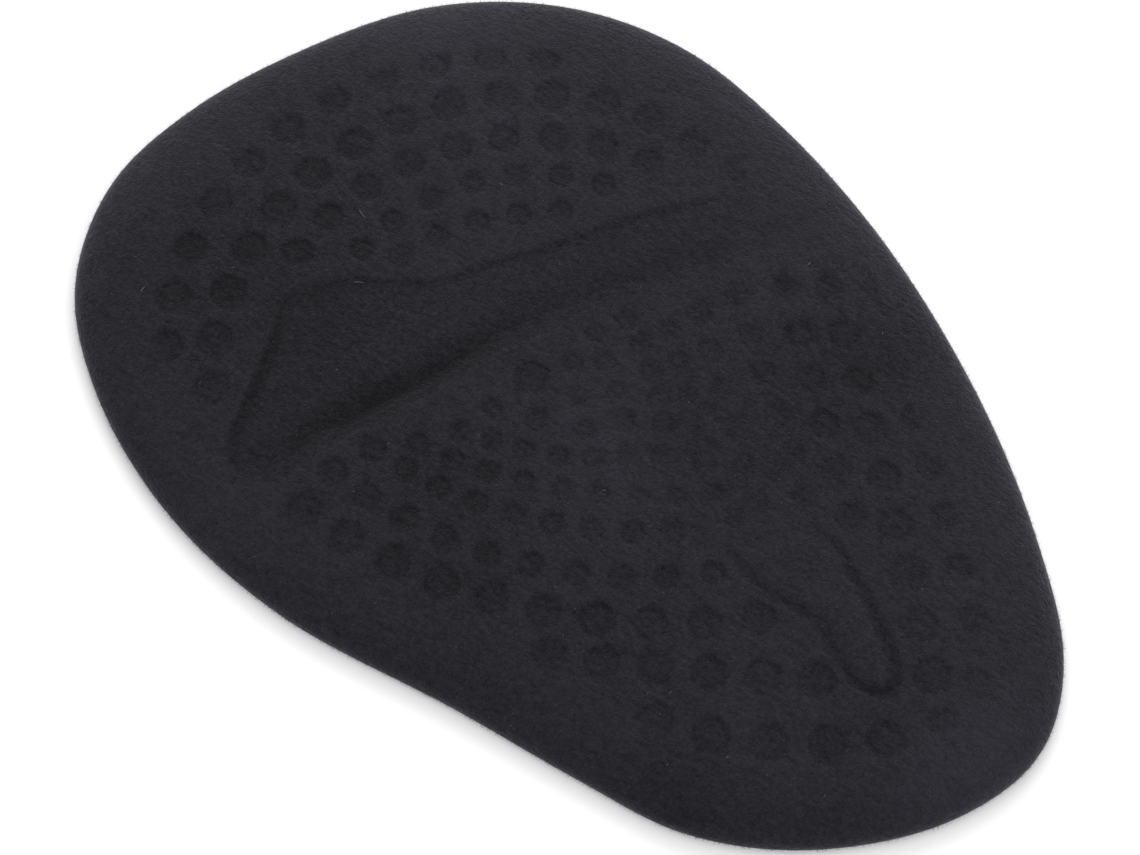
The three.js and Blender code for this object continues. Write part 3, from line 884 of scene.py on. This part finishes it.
shader.inputs["Specular IOR Level"].default_value = 0.15
shader.inputs["Sheen Weight"].default_value = 0.235
shader.inputs["Sheen Roughness"].default_value = 0.46
shader.inputs["Sheen Tint"].default_value = (0.78, 0.78, 0.94, 1)
print("suede:", len(tree.nodes), "nodes")

# %% [markdown]
# ## The gel finish
#
# Poured gel is dark, a little see-through and tacky, with a soft gloss. Thin spots look lighter than
# thick ones, and its skin has faint dimples and a fine dust of pressed-in marks from its tray.

# %% Gel finish
gel_finish, tree, shader = new_finish("gel")
dimples = noise_node(tree, 3.5, detail=2.0)
film = noise_node(tree, 0.9, detail=3.0)
cloud = noise_node(tree, 11.0, detail=2.0)
colour = add_node(tree, "ShaderNodeMix", {"data_type": "RGBA"},
                  {"Factor": cloud * 0.7 + film * 0.3, 6: (0.016, 0.017, 0.020, 1),
                   7: (0.055, 0.058, 0.066, 1)}, output=2)
bump = add_node(tree, "ShaderNodeBump", None,
                {"Height": dimples * 0.8 + film * 0.2, "Strength": 0.35, "Distance": 0.25 * MM})
tree.links.new(colour.socket, shader.inputs["Base Color"])
tree.links.new((0.20 + 0.22 * film).socket, shader.inputs["Roughness"])
tree.links.new(bump.socket, shader.inputs["Normal"])
shader.inputs["IOR"].default_value = 1.43
shader.inputs["Coat Weight"].default_value = 0.35
shader.inputs["Coat Roughness"].default_value = 0.12
print("gel:", len(tree.nodes), "nodes")

# %% Dress the two pieces
cover.data.materials.clear()
cover.data.materials.append(suede)
gel.data.materials.clear()
gel.data.materials.append(gel_finish)

# %% [markdown]
# ## Shades of the nap
#
# Suede isn't smooth even where it looks so: short fibres stand out from it and catch the light. Bump
# can't show them at the rim, where they break the outline, so the longest ones are made as geometry. A
# fibre is far thinner than any pattern on it, so its own colour is plain, and the variety comes from
# three shades of the same suede that are dealt out at random.

# %% Three shades of fibre
def fibre_finish(name, base, sheen):
    """The suede's own finish for loose fibres, in one shade."""
    material, tree, shader = new_finish(name)
    shader.inputs["Base Color"].default_value = (*base, 1)
    shader.inputs["Roughness"].default_value = 0.9
    shader.inputs["Specular IOR Level"].default_value = 0.15
    shader.inputs["Sheen Weight"].default_value = sheen
    shader.inputs["Sheen Roughness"].default_value = 0.45
    shader.inputs["Sheen Tint"].default_value = (0.78, 0.78, 0.94, 1)
    return material


NAP_SHADES = [
    fibre_finish("nap_dark", (0.005, 0.005, 0.007), 0.08),
    fibre_finish("nap_middle", (0.013, 0.012, 0.016), 0.14),
    fibre_finish("nap_pale", (0.052, 0.050, 0.060), 0.20),
]
NAP_SHARES = (0.40, 0.42, 0.18)
print(len(NAP_SHADES), "shades of nap")

# %% [markdown]
# ## Growing fibres
#
# Each fibre is a thin spike, rooted just under the surface. Along the edge it is bent and stands out,
# on the top it is straight and lies almost flat. Thousands of single objects would be slow, so all the
# fibres of a place are written straight into one mesh. No fibre reaches down to the floor. The seeds
# are fixed, but subdivision hands out its points in another order from run to run. So the draws stay
# the same, while fibres and dust stand on other points of the same skin.

# %% Helpers for fibres
ROOT_DEPTH = 0.04
LEAST_HEIGHT = 0.02
ROOT_SPREAD = 0.14

# Where a bent fibre has its knee, how far it is bent and how thick it is there, and where its tip lies.
KNEE_AT = 0.55
KNEE_BEND = 0.35
KNEE_WIDTH = 0.75
TIP_AT = 0.95


def surface_samples(piece, count, choose, dice):
    """Random points on a piece, as often as choose says, with their normals, in millimetres."""
    points = points_of(piece)
    flat = np.empty(len(points) * 3)
    piece.data.vertices.foreach_get("normal", flat)
    normals = flat.reshape(-1, 3)
    often = choose(points, normals).astype(float)
    picked = dice.choice(len(points), count, p=often / often.sum())
    jitter = dice.normal(0, ROOT_SPREAD, (count, 3))
    jitter -= normals[picked] * (jitter * normals[picked]).sum(axis=1)[:, None]
    return points[picked] + jitter, normals[picked]


def unit(rows):
    """The same directions, each of length one."""
    return rows / np.linalg.norm(rows, axis=1)[:, None]


def spike_rings(roots, ways, lengths, widths, bends, dice):
    """Corners of each spike: a triangle at its root, one halfway if it is bent, and its tip."""
    side = unit(np.cross(ways, dice.normal(0, 1, roots.shape)))
    other = np.cross(ways, side)
    reach = ways * lengths[:, None]
    bend = side * (lengths * bends)[:, None]
    rings = [(roots, 1.0)]
    if bends.any():
        rings.append((roots + reach * KNEE_AT + bend * KNEE_BEND, KNEE_WIDTH))
    rows = []
    for centre, share in rings:
        for corner in range(3):
            angle = 2 * math.pi * corner / 3
            offset = side * math.cos(angle) + other * math.sin(angle)
            rows.append(centre + offset * (widths * share / 2)[:, None])
    rows.append(roots + reach * TIP_AT + bend)
    return np.stack(rows, axis=1)


def deal_shades(count, dice):
    """A shade of the nap for each fibre, dealt at random."""
    return dice.choice(len(NAP_SHADES), count, p=NAP_SHARES)


def grow_fibres(name, corners, finishes, shades):
    """One mesh of closed spikes, each in the finish whose number is its shade. Corners are in mm."""
    count, each, _ = corners.shape
    tip = each - 1
    faces = [(0, 2, 1)]
    for low in range(0, tip - 3, 3):
        for a, b in ((0, 1), (1, 2), (2, 0)):
            faces += [(low + a, low + b, low + 3 + b), (low + a, low + 3 + b, low + 3 + a)]
    last = tip - 3
    faces += [(last + a, last + b, tip) for a, b in ((0, 1), (1, 2), (2, 0))]
    corners[..., 2] = np.maximum(corners[..., 2], LEAST_HEIGHT)
    mesh = bpy.data.meshes.new(name)
    every = (np.arange(count)[:, None, None] * each + np.array(faces)[None]).reshape(-1, 3)
    mesh.from_pydata((corners.reshape(-1, 3) * MM).tolist(), [], every.tolist())
    for finish in finishes:
        mesh.materials.append(finish)
    mesh.polygons.foreach_set("material_index", np.repeat(shades, len(faces)).astype(np.int32))
    mesh.update()
    piece = bpy.data.objects.new(name, mesh)
    bpy.context.scene.collection.objects.link(piece)
    return piece


print("fibres are rooted", ROOT_DEPTH, "mm deep")

# %% [markdown]
# ## Nap along the edge
#
# Against a pale ground the edge of suede isn't a clean line. The fibres there stand out in all
# directions, a few tenths of a millimetre long.

# %% Edge nap
EDGE_NAP_COUNT = 11000
EDGE_NAP_BAND = 3.2
EDGE_NAP_FOOT = 0.25
EDGE_NAP_SPREAD = 0.55
EDGE_NAP_LENGTHS = (0.10, 0.34)
EDGE_NAP_WIDTHS = (0.020, 0.038)
EDGE_NAP_BENDS = (0.1, 0.45)

# A curve between the outer and the inner skin: its inset at the foot, and how it leans in with height.
BETWEEN_SKINS = 0.9
BETWEEN_LEAN = 0.25


def on_the_edge(points, normals):
    """The steep band round the rim, on the outer skin alone."""
    inside = distance_to(rim, points[:, :2], closed=True)
    outside_skin = inside < BETWEEN_SKINS + points[:, 2] ** 2 * BETWEEN_LEAN
    return (inside < EDGE_NAP_BAND) & (points[:, 2] > EDGE_NAP_FOOT) & outside_skin


dice = np.random.default_rng(11)
roots, normals = surface_samples(cover, EDGE_NAP_COUNT, on_the_edge, dice)
ways = unit(normals + dice.normal(0, EDGE_NAP_SPREAD, roots.shape))
lengths = dice.uniform(*EDGE_NAP_LENGTHS, EDGE_NAP_COUNT) + ROOT_DEPTH
widths = dice.uniform(*EDGE_NAP_WIDTHS, EDGE_NAP_COUNT)
bends = dice.uniform(*EDGE_NAP_BENDS, EDGE_NAP_COUNT)
corners = spike_rings(roots - normals * ROOT_DEPTH, ways, lengths, widths, bends, dice)
edge_nap = grow_fibres("edge_nap", corners, NAP_SHADES, deal_shades(EDGE_NAP_COUNT, dice))
print("edge nap:", len(edge_nap.data.polygons), "triangles")

# %% [markdown]
# ## Nap on the top
#
# On the top the fibres lie almost flat. They follow the way in which the suede was brushed, which
# wanders over the pad, and some lie across it.

# %% Surface nap
TOP_NAP_COUNT = 46000
TOP_NAP_LENGTHS = (0.18, 0.42)
TOP_NAP_WIDTHS = (0.026, 0.046)
TOP_NAP_RISES = (8, 34)
TOP_LOWEST = 2.2
TOP_STEEPEST = 0.5
PRESSED_LOSS = 0.85
BRUSHED_WAY = math.radians(55)
BRUSHED_WANDER = 1.6
WANDER_SIZE = 12.0
BRUSHED_SPREAD = 0.7


def on_the_top(points, normals):
    """The outer skin inside the edge. Where it is pressed, few fibres still stand."""
    flat = np.zeros(len(points))
    flat[:len(dot_nap)] = PRESSED_LOSS * np.maximum(dot_nap, np.maximum(channel_nap_and_shade, groove))
    return ((points[:, 2] > TOP_LOWEST) & (normals[:, 2] > TOP_STEEPEST)) * (1 - flat)


dice = np.random.default_rng(23)
roots, normals = surface_samples(cover, TOP_NAP_COUNT, on_the_top, dice)
headings = BRUSHED_WAY + BRUSHED_WANDER * noise_at(roots[:, :2], WANDER_SIZE, seed=2.2)
headings += dice.normal(0, BRUSHED_SPREAD, TOP_NAP_COUNT)
flat_ways = np.stack([np.cos(headings), np.sin(headings), np.zeros(TOP_NAP_COUNT)], axis=1)
flat_ways = unit(flat_ways - normals * (flat_ways * normals).sum(axis=1)[:, None])
rise = np.radians(dice.uniform(*TOP_NAP_RISES, TOP_NAP_COUNT))[:, None]
ways = flat_ways * np.cos(rise) + normals * np.sin(rise)
lengths = dice.uniform(*TOP_NAP_LENGTHS, TOP_NAP_COUNT) + ROOT_DEPTH
widths = dice.uniform(*TOP_NAP_WIDTHS, TOP_NAP_COUNT)
corners = spike_rings(roots - normals * ROOT_DEPTH, ways, lengths, widths, np.zeros(TOP_NAP_COUNT), dice)
top_nap = grow_fibres("top_nap", corners, NAP_SHADES, deal_shades(TOP_NAP_COUNT, dice))
print("top nap:", len(top_nap.data.polygons), "triangles")

# %% [markdown]
# ## Lint and stray hairs
#
# Black suede picks up everything pale. A few bits of lint lie on it, each a short bent fibre of its own
# size, and two hairs of the nap have come loose at the edge. They are charted one by one: where they
# start, which way they point and how long they are. Dust too small to chart is strewn by chance.

# %% Lint and hairs
# columns: x and y in percent, heading in degrees, length and width in mm
LINT = [
    (28.3, -2.8, 151, 1.4, 0.09),
    (24.5, 6.4, -146, 1.2, 0.06),
    (40.2, 23.1, -91, 0.7, 0.08),
    (-5.7, 13.1, 40, 0.4, 0.07),
    (19.0, -16.7, 10, 0.4, 0.07),
    (-8.3, -30.2, 75, 0.5, 0.08),
    (-17.4, -27.0, 120, 0.4, 0.06),
    (34.4, 13.5, 60, 0.4, 0.06),
]
DUST_COUNT = 90
DUST_LENGTHS = (0.12, 0.32)
DUST_WIDTHS = (0.03, 0.06)
LINT_LIFT = 0.02
LINT_RISE = 0.08
LINT_BEND = 0.18
HAIRS = [
    (18.4, 48.9, 150, 1.9, 0.05),
    (-20.6, 46.2, 60, 1.1, 0.05),
]

# Lint and dust take the first finish, the hairs the second, which is the nap's middle shade.
LINT_FINISHES = [fibre_finish("lint", (0.12, 0.12, 0.135), 0.2), NAP_SHADES[1]]
RIM_HEIGHT = 1.0


def height_under(points):
    """Height of the cover's outer skin at each place of the plan, and its normal, in millimetres."""
    found = []
    for x, y in points:
        hit, where, normal, _ = cover.ray_cast(Vector((x, y, 2 * PAD_THICKNESS)) * MM, Vector((0, 0, -1)))
        found.append((*(where / MM), *normal) if hit else (x, y, RIM_HEIGHT, 0, 0, 1))
    found = np.array(found)
    return found[:, :3], found[:, 3:]


dice = np.random.default_rng(31)
chart = np.array(LINT + HAIRS, float)
places, normals = height_under(in_mm(chart[:, :2]))
dusty, dust_normals = surface_samples(cover, DUST_COUNT, on_the_top, dice)
roots = np.vstack([places, dusty])
normals = np.vstack([normals, dust_normals])
headings = np.radians(np.concatenate([chart[:, 2], dice.uniform(0, 360, DUST_COUNT)]))
lengths = np.concatenate([chart[:, 3], dice.uniform(*DUST_LENGTHS, DUST_COUNT)])
widths = np.concatenate([chart[:, 4], dice.uniform(*DUST_WIDTHS, DUST_COUNT)])
ways = np.stack([np.cos(headings), np.sin(headings), np.zeros(len(headings))], axis=1)
ways = unit(ways - normals * (ways * normals).sum(axis=1)[:, None] + LINT_RISE * normals)
bends = np.full(len(roots), LINT_BEND)
corners = spike_rings(roots + normals * LINT_LIFT, ways, lengths, widths, bends, dice)
finish_numbers = np.zeros(len(roots), int)
finish_numbers[len(LINT):len(LINT) + len(HAIRS)] = 1
lint = grow_fibres("lint", corners, LINT_FINISHES, finish_numbers)
print("lint:", len(roots), "bits")

# %% [markdown]
# ## Ride and replace
#
# Nothing on the pad moves, so every piece rides on the one body. The dressed cover and gel stand for
# their plain solids, which are hidden.

# %% Tie the pieces to the frame
for piece, node, slot in ((cover, "suede_cover", "suede"), (gel, "gel_body", "gel")):
    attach(piece, "root")
    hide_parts(node)
for piece in (edge_nap, top_nap, lint):
    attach(piece, "root")

# %% [markdown]
# ## Floor, light and camera
#
# The floor is plain and almost white. A broad, soft light stands behind the pad, as it does in the
# photograph, where the far rim is brightest. A weaker one stands in front of it on the right, and the
# even white surroundings fill the shadows.

# %% The floor
FLOOR_SIZE = 4.0
deselect_all()
bpy.ops.mesh.primitive_plane_add(size=FLOOR_SIZE, location=(0, 0, 0))
floor = bpy.context.object
floor.name = "floor"
paper, tree, shader = new_finish("pale_floor")
fibre = noise_node(tree, 40.0, detail=2.0)
colour = add_node(tree, "ShaderNodeMix", {"data_type": "RGBA"},
                  {"Factor": fibre, 6: (0.88, 0.88, 0.88, 1), 7: (0.90, 0.90, 0.90, 1)}, output=2)
tree.links.new(colour.socket, shader.inputs["Base Color"])
shader.inputs["Roughness"].default_value = 0.9
shader.inputs["Specular IOR Level"].default_value = 0.1
floor.data.materials.append(paper)

# %% The camera
# The photograph's direction: the way from the viewer over the pad, its steepness and its roll.
PHOTO_TURN = math.radians(142)
PHOTO_TILT = math.radians(65)
PHOTO_ROLL = math.radians(4)
PHOTO_TARGET = Vector((1.419, 4.602, 0.68)) * MM
PHOTO_DISTANCE = 479.5 * MM
PHOTO_LENS = 154.7

turning = Matrix.Rotation(-PHOTO_TURN, 3, "Z") @ Matrix.Rotation(math.pi / 2 - PHOTO_TILT, 3, "X")
facing = turning @ Matrix.Rotation(-PHOTO_ROLL, 3, "Z")
lens = bpy.data.cameras.new("camera")
lens.lens = PHOTO_LENS
lens.sensor_width = 36
lens.clip_start = 0.01
lens.clip_end = 20
camera = bpy.data.objects.new("camera", lens)
camera.location = PHOTO_TARGET + facing @ Vector((0, 0, PHOTO_DISTANCE))
camera.rotation_euler = facing.to_euler()
bpy.context.scene.collection.objects.link(camera)
bpy.context.scene.camera = camera
print("the camera stands at", [round(v / MM, 1) for v in camera.location], "mm")

# %% The light
away = Vector((math.sin(PHOTO_TURN), math.cos(PHOTO_TURN), 0))
side = Vector((math.cos(PHOTO_TURN), -math.sin(PHOTO_TURN), 0))


def add_soft_light(name, behind, beside, height, size, power):
    """A square area light, placed as the viewer sees it and turned to the pad. Lengths are in metres."""
    place = away * behind + side * beside + Vector((0, 0, height))
    data = bpy.data.lights.new(name, "AREA")
    data.shape = "SQUARE"
    data.size = size
    data.energy = power
    light = bpy.data.objects.new(name, data)
    light.location = place
    light.rotation_euler = (-place).to_track_quat("-Z", "Y").to_euler()
    bpy.context.scene.collection.objects.link(light)
    return light


add_soft_light("back_light", behind=0.95, beside=0.1, height=0.46, size=0.8, power=8.6)
add_soft_light("side_light", behind=-0.9, beside=0.8, height=0.42, size=0.7, power=5.5)

world = bpy.data.worlds.new("surroundings")
world.use_nodes = True
world.node_tree.nodes["Background"].inputs["Color"].default_value = (1, 1, 1, 1)
world.node_tree.nodes["Background"].inputs["Strength"].default_value = 1.0
bpy.context.scene.world = world
bpy.context.scene.view_settings.view_transform = "Standard"
